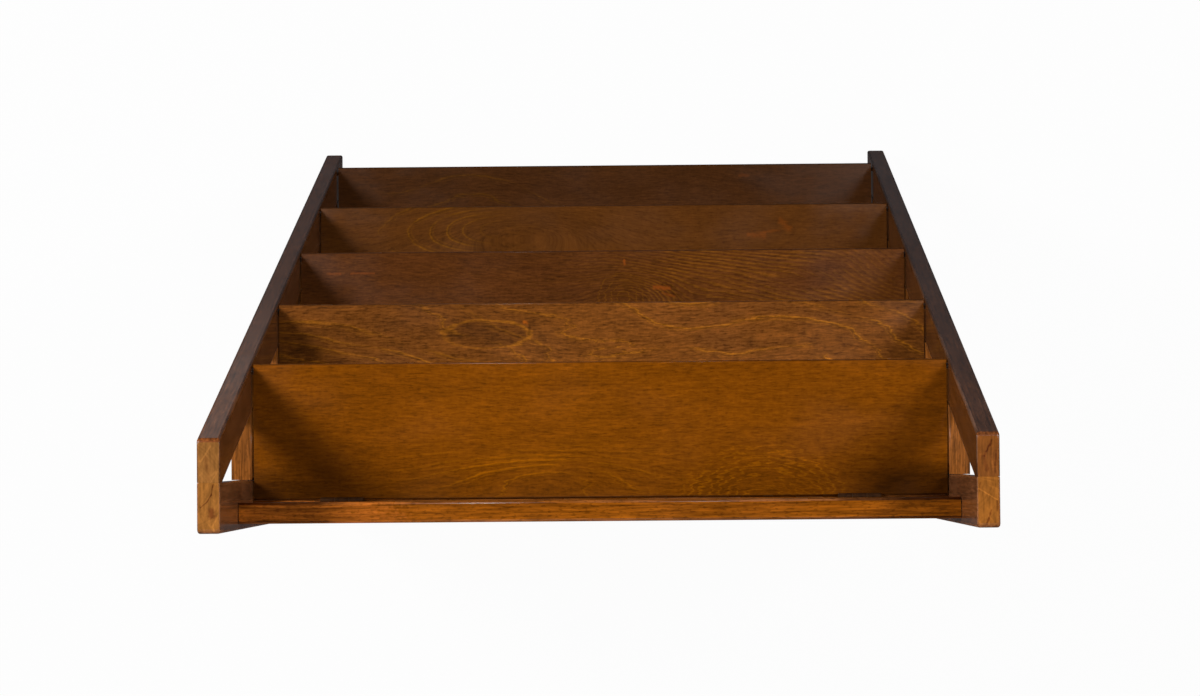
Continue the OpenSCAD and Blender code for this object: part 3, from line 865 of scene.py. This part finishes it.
# One post: where the pith lies in its top end, from the middle of the post and the joint of the two posts,
# factors on the stain of its end grain and of its long faces, and rays and brown streaks in its top end, measured
# like the pith, for paint(). The factor on the long faces is painted light and shade: it lightens the back posts,
# whose inner faces lie in shade, and makes the right front post lighter than the left one
PostLook = namedtuple("PostLook", "pith end_tone face_tone streaks")


class BOOKCASE_OT_posts(bpy.types.Operator):
    """Make the two back posts and the two raked front posts"""

    bl_idname = "bookcase.posts"
    bl_label = "Build Posts"

    LOOKS = {
        "front_post_right": PostLook((0.075, 0.045), (0.98, 0.99, 1.1), 1.4, (
            (0.0085, -0.0226, -0.0023, -0.0395, 0.0013, 0.9), (-0.0023, 0, -0.01, -0.0118, 0.0012, 0.8),
            (0.0028, -0.027, 0.0023, -0.017, 0.0035, -0.35), (0.001, -0.018, 0, -0.003, 0.003, -0.2))),
        "back_post_right": PostLook((0.034, -0.006), (1.05, 1.0, 0.92), 2.1, (
            (-0.005, 0.0022, -0.003, 0.0129, 0.001, -1.0), (-0.003, 0.0129, 0.0015, 0.0205, 0.0011, -1.0),
            (0.0015, 0.0205, 0.0085, 0.0266, 0.0013, -1.0), (-0.003, 0.029, -0.0037, 0.0365, 0.0055, -0.85),
            (-0.0096, 0.0377, -0.0037, 0.0474, 0.0014, 0.8), (0.0076, 0.0032, 0.0066, 0.028, 0.0025, 0.4))),
        "front_post_left": PostLook((-0.11, -0.03), (0.95, 0.74, 0.6), 0.88, (
            (-0.004, -0.0389, 0.0039, -0.0227, 0.0021, -0.9), (0.0057, -0.0245, 0.0014, -0.0084, 0.004, -0.5),
            (-0.0083, -0.0278, -0.0072, -0.004, 0.0018, -0.55), (-0.005, -0.033, -0.004, -0.0062, 0.0016, 0.6))),
        "back_post_left": PostLook((0.052, -0.012), (1.18, 1.0, 0.7), 1.95, (
            (0.0108, 0.0127, -0.0093, 0.025, 0.001, 1.6), (-0.0029, 0.0357, 0.0025, 0.0519, 0.0018, -0.8),
            (-0.0094, 0.026, -0.0094, 0.0368, 0.0016, -0.6), (0.0089, 0.0067, 0.01, 0.015, 0.0016, -0.5),
            (0.0046, 0.0045, 0.0057, 0.0131, 0.0025, 0.5))),
    }

    # A front post's factors on the rubbed colour, how far its arrises are worn, and the colour of its nose; the left
    # post's paler, bluer factors and its wear are a painted highlight along its arrises
    ARRISES = {"left": ((1.15, 1.7, 3.5), 0.9, (0.19, 0.056, 0.014)),
               "right": ((1.0, 1.0, 1.0), 0.5, (0.2, 0.056, 0.012))}

    def execute(self, context):
        sizes, finish = wood_settings(context)
        for side, sign in SIDES.items():
            mid_x = sign * MID_X
            node = f"back_post_{side}"
            material = self.wood(finish, node, mid_x, "upright", 0, finish.rubbed_and_sheen, ring=0.0037, wander=0.014)
            finish_piece(self.back_post(sizes, side, mid_x), Z_AXIS, material, node, "frame")
            node = f"front_post_{side}"
            factors, worn, nose = self.ARRISES[side]
            material = self.wood(finish, node, mid_x, "raked", TOP_Z, tinted(finish.rubbed_and_sheen, factors),
                                 ring=0.0033, wander=0.012, worn=worn, nose=nose)
            finish_piece(self.front_post(sizes, mid_x), RAKED_AXIS, material, node, "frame")
        return {"FINISHED"}

    def wood(self, finish, node, mid_x, grain, pith_z, rubbed_and_sheen, **more):
        look = self.LOOKS[node]
        pith = (mid_x + look.pith[0], JOINT_Y + look.pith[1], pith_z)
        strokes = [(mid_x + x0, JOINT_Y + y0, mid_x + x1, JOINT_Y + y1, width, amount)
                   for x0, y0, x1, y1, width, amount in look.streaks]
        faces = [channel * look.face_tone for channel in finish.post_brown]
        return solid_wood(node, faces, tinted(finish.end_gold, look.end_tone), rubbed_and_sheen, grain, pith,
                          strokes=strokes, **more)

    def back_post(self, sizes, side, mid_x):
        low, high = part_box(f"back_post_{side}")
        mesh = eased_board(low, high, 2, sizes.edge_r, sizes.segments, sizes.joint_edge_r)
        r = sizes.top_end_r
        mid_y = (low.y + high.y) / 2

        def end_shift(y, z):
            up = z - (TOP_Z - r)
            return -(r - math.sqrt(max(r**2 - up**2, 0))) if y > mid_y else 0.0

        round_top(mesh, sizes, mid_x, end_shift)
        return mesh

    def front_post(self, sizes, mid_x):
        width = sizes.front_post_w
        length = TOP_Z / math.cos(RAKE)
        mesh = eased_board(Vector((-SIDE_T / 2, 0, -width)), Vector((SIDE_T / 2, width, length + width)), 2,
                           sizes.edge_r, sizes.segments)
        bmesh.ops.rotate(mesh, cent=(0, 0, 0), matrix=Matrix.Rotation(-RAKE, 3, "X"), verts=mesh.verts)
        bmesh.ops.translate(mesh, vec=(mid_x, front_y(0), 0), verts=mesh.verts)
        saw(mesh, (0, 0, 0), -Z_AXIS)
        saw(mesh, (0, 0, TOP_Z), Z_AXIS)
        saw(mesh, (0, FRONT_POST[1].y, 0), Y_AXIS)
        r = sizes.top_end_r
        arc_z = TOP_Z - r
        arc_y = front_y(arc_z) + r / math.cos(RAKE)
        start_z = arc_z + r * math.sin(RAKE)

        def end_shift(y, z):
            if z < start_z or y > front_y(z) + width / 2:
                return 0.0
            return arc_y - math.sqrt(max(r**2 - (z - arc_z) ** 2, 0)) - front_y(z)

        round_top(mesh, sizes, mid_x, end_shift)
        return mesh


class BOOKCASE_OT_rungs(bpy.types.Operator):
    """Make the ten side rungs"""

    bl_idname = "bookcase.rungs"
    bl_label = "Build Rungs"

    # Factors on the stain of the rungs, by side and by level: painted light and shade, darker on the right, where
    # the stronger softbox stands, and on the three lowest levels, and lighter at the second
    TONES = {"left": 1.0, "right": 0.78}
    LEVEL_LIGHT_AND_SHADE = {1: 1.0, 2: 1.3, 3: 0.5, 4: 0.42, 5: 0.42}

    # How far the pith lies out to the side, and how high
    PITH = (0.36, 0.62)

    def execute(self, context):
        sizes, finish = wood_settings(context)
        for side, sign in SIDES.items():
            for level in LEVELS:
                node = f"rung_{side}_{level}"
                stain = [channel * self.TONES[side] * self.LEVEL_LIGHT_AND_SHADE[level] for channel in finish.rung_brown]
                # Below the second level a rung's edges take its own darkened stain: painted shade, without a lighter
                # rubbed edge
                rubbed_and_sheen = stain if level > 2 else finish.rubbed_and_sheen
                material = solid_wood(node, stain, finish.end_gold, rubbed_and_sheen, "deep",
                                      (sign * self.PITH[0], 0, self.PITH[1]), ring=0.0031, wander=0.02)
                low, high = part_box(node)
                mesh = eased_board(low, high, 1, sizes.edge_r, sizes.segments)
                saw(mesh, low, -RAKED_NORMAL)
                finish_piece(mesh, Y_AXIS, material, node, "frame")
        return {"FINISHED"}


class BOOKCASE_OT_rails(bpy.types.Operator):
    """Make the top rail and the five slats that carry the shelves"""

    bl_idname = "bookcase.rails"
    bl_label = "Build Rail and Slats"

    PITH = (0, 0.31, 1.38)

    # A painted light band across the right end of the rail, which lifts the shade there, for paint()
    PAINTED_LIGHT_BAND = (0.39, RAIL[0].y, 0.26, RAIL[1].y, 0.06, 0.7)

    def execute(self, context):
        sizes, finish = wood_settings(context)
        # The rail's rubbed edges, at nearly twice the wear, are partly a painted highlight along its arrises
        material = solid_wood("rail", finish.rail_brown, finish.end_gold, finish.rubbed_and_sheen, "wide", self.PITH,
                              ring=0.0042, wander=0.016, fleck=1.3, strokes=(self.PAINTED_LIGHT_BAND,),
                              glow=tinted(finish.rail_brown, (2.2, 2.2, 6)), worn=1.9)
        self.bar(sizes, "top_rail", material)
        for level in LEVELS:
            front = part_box(f"slat_{level}")[0].y
            self.bar(sizes, f"slat_{level}", material,
                     recess_cutters(sizes, level, front - OVER, front + sizes.recess_depth))
        return {"FINISHED"}

    def bar(self, sizes, node, material, cutters=()):
        low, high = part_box(node)
        mesh = eased_board(low, high, 0, sizes.edge_r, sizes.segments)
        finish_piece(mesh, X_AXIS, material, node, "frame", cutters)


class BOOKCASE_OT_shelves(bpy.types.Operator):
    """Make the five veneered shelves"""

    bl_idname = "bookcase.shelves"
    bl_label = "Build Shelves"

    # How far apart in the veneer's figure the shelves are cut
    SHIFT = 0.37

    FIGURES = {
        1: Figure((1.0, 1.0, 0.9), 1.7, 14, (0, 6, 0), 0.5, 0.03, 0.85, (0.1, 0.34, 0.5),
                  (-0.2, 0.25, 0.06, 0.05, 0.2), (0.07, 0.215, 0.12, 0.03, 0.2),
                  (-0.19, 0.245, 0.085, 0.055, 8, 1.3, 0.25), ()),
        2: Figure((1.1, 1.26, 5.4), 2.2, 15, (0.7, 2.6, 0), 0.6, 0.8, 1.25, (-0.05, 0.3, 0.45),
                  (-0.12, 0.04, 0.12, 0.05, 0.05), (-0.3, 0.04, 0.1, 0.05, 0.08),
                  (0.1437, 0.0403, 0.0528, 0.0176, 1, 1.0, 0.45),
                  ((0.0972, 0.0249, 0.0935, 0.0264, 0.003, 0.8), (0.0897, 0.0302, 0.0909, 0.0403, 0.0035, -0.8))),
        3: Figure((0.77, 0.85, 5.0), 1.75, 36, (1.1, 4.2, 0), 0.6, 0.12, 0.85, (-0.25, 0.08, 0.7),
                  (-0.028, -0.0186, 0.06, 0.04, 0.2), (-0.2, -0.04, 0.15, 0.07, 0.05),
                  (-0.0282, -0.0186, 0.034, 0.032, 4, 1.2, 0.2),
                  ((-0.0699, -0.0321, -0.0887, -0.0301, 0.0042, 0.8),
                   (-0.0806, -0.0361, -0.0968, -0.0307, 0.003, -1.1),
                   (-0.086, -0.0267, -0.1048, -0.0186, 0.0032, -0.6),
                   (-0.0806, -0.024, -0.0968, -0.0186, 0.0024, 0.5),
                   (-0.0295, -0.0684, -0.0302, -0.063, 0.0028, 0.9),
                   (0.371, -0.0536, 0.3535, -0.0536, 0.0025, 0.4),
                   (0.3387, -0.0536, 0.3078, -0.0536, 0.0022, 0.4))),
        4: Figure((0.77, 0.9, 4.2), 1.75, 8, (0, 0.6, 0), 0.4, 0.02, 0.7, (0.0, 0.28, 0.4),
                  (0.12, -0.13, 0.14, 0.035, 0.9), (0.25, -0.13, 0.07, 0.05, 0.0),
                  (0.075, -0.139, 0.066, 0.02, 1, 0.0, 0.3),
                  ((-0.2082, -0.1211, -0.2297, -0.1189, 0.006, 0.45),
                   (-0.2268, -0.1239, -0.2511, -0.1261, 0.0034, 0.35),
                   (-0.254, -0.1397, -0.2654, -0.1283, 0.007, 0.4))),
        5: Figure((0.5, 0.61, 4.4), 1.7, 8, (0.6, 1.6, 0), 0.6, 0.02, 0.7, (0.0, 0.3, 0.1),
                  (-0.15, -0.25, 0.1, 0.06, 0.2), (0.2, -0.2, 0.1, 0.04, 0.1),
                  (0.0, -0.2, 0.06, 0.02, 1, 0.0, 0.2), ((-0.2053, -0.2299, -0.2175, -0.2299, 0.004, 0.4),)),
    }

    def execute(self, context):
        sizes, finish = wood_settings(context)
        for level in LEVELS:
            material = veneer(f"veneer_{level}", finish.shelf_brown, self.FIGURES[level], self.SHIFT * level)
            node = f"shelf_{level}"
            low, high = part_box(node)
            mesh = eased_board(low, high, 0, sizes.shelf_edge_r, sizes.segments)
            cutters = recess_cutters(sizes, level, high.y - sizes.recess_depth, high.y + OVER)
            cutters += [self.rest_notch(sizes, low, high, sign) for sign in SIDES.values()]
            finish_piece(mesh, X_AXIS, material, node, node, cutters)
        return {"FINISHED"}

    def rest_notch(self, sizes, low, high, sign):
        """A cutter with a round top for the rest pin under one end of a shelf."""
        r = sizes.notch_r
        y, z = low.y + REST_SETBACK, low.z + REST_RISE
        near, far = sorted((sign * (high.x + OVER), sign * (high.x - sizes.notch_l)))
        mesh = new_block(Vector((near, y - r, z + r - NOTCH_CUTTER_H)), Vector((far, y + r, z + r)))
        tops = [e for e in mesh.edges if all(v.co.z > z for v in e.verts)
                and abs(e.verts[0].co.x - e.verts[1].co.x) > 0.001]
        bevel(mesh, tops, r * 0.999, 8, clamp=True)
        return mesh


class BOOKCASE_OT_fittings(bpy.types.Operator):
    """Give the hinges, pins, screws and dowels their finishes"""

    bl_idname = "bookcase.fittings"
    bl_label = "Finish Fittings"

    BRONZE = ("slat_leaves", "frame_hinge_post_leaves", "frame_hinge_rung_leaves", "shelf_hinge_pins",
              *(f"shelf_leaves_{level}" for level in LEVELS))
    STEEL = ("slat_leaf_screws", "frame_hinge_pins", "frame_hinge_screws", "shelf_rest_pins",
             *(f"shelf_screws_{level}" for level in LEVELS))

    def execute(self, context):
        finish = context.scene.bookcase_finish
        for material, fittings in ((metal("aged_bronze", finish.bronze, 0.6, 0.6, bare=0.3), self.BRONZE),
                                   (metal("zinc_steel", finish.steel, 0.3, 0.7), self.STEEL),
                                   (bare_beech("beech", finish.beech), ("joint_dowels",))):
            for node in fittings:
                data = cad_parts[node].data
                data.materials.clear()
                data.materials.append(material)
        return {"FINISHED"}


class BOOKCASE_PT_builder(bpy.types.Panel):
    """The bookcase's sizes, finishes and builders"""

    bl_idname = "BOOKCASE_PT_builder"
    bl_label = "Ladder Bookcase"
    bl_space_type = "VIEW_3D"
    bl_region_type = "UI"
    bl_category = "Bookcase"

    def draw(self, context):
        layout = self.layout
        for group, cls in SETTINGS.items():
            box = layout.box()
            for name in cls.__annotations__:
                box.prop(getattr(context.scene, group), name)
        for operator in OPERATORS:
            layout.operator(operator.bl_idname)


SETTINGS = {"bookcase_sizes": BookcaseSizes, "bookcase_finish": BookcaseFinish, "bookcase_studio": BookcaseStudio}
OPERATORS = (BOOKCASE_OT_stage, BOOKCASE_OT_posts, BOOKCASE_OT_rungs, BOOKCASE_OT_rails, BOOKCASE_OT_shelves,
             BOOKCASE_OT_fittings)
CLASSES = (*SETTINGS.values(), *OPERATORS, BOOKCASE_PT_builder)


def register():
    for cls in CLASSES:
        bpy.utils.register_class(cls)
    for group, cls in SETTINGS.items():
        setattr(bpy.types.Scene, group, PointerProperty(type=cls))


def unregister():
    for group in SETTINGS:
        delattr(bpy.types.Scene, group)
    for cls in reversed(CLASSES):
        bpy.utils.unregister_class(cls)


def main():
    register()
    for make in (make_board_figure, make_veneer_figure, make_stroke, make_stain, make_varnish):
        make()
    bpy.ops.bookcase.stage()
    bpy.ops.bookcase.posts()
    bpy.ops.bookcase.rungs()
    bpy.ops.bookcase.rails()
    bpy.ops.bookcase.shelves()
    bpy.ops.bookcase.fittings()


if __name__ == "__main__":
    main()
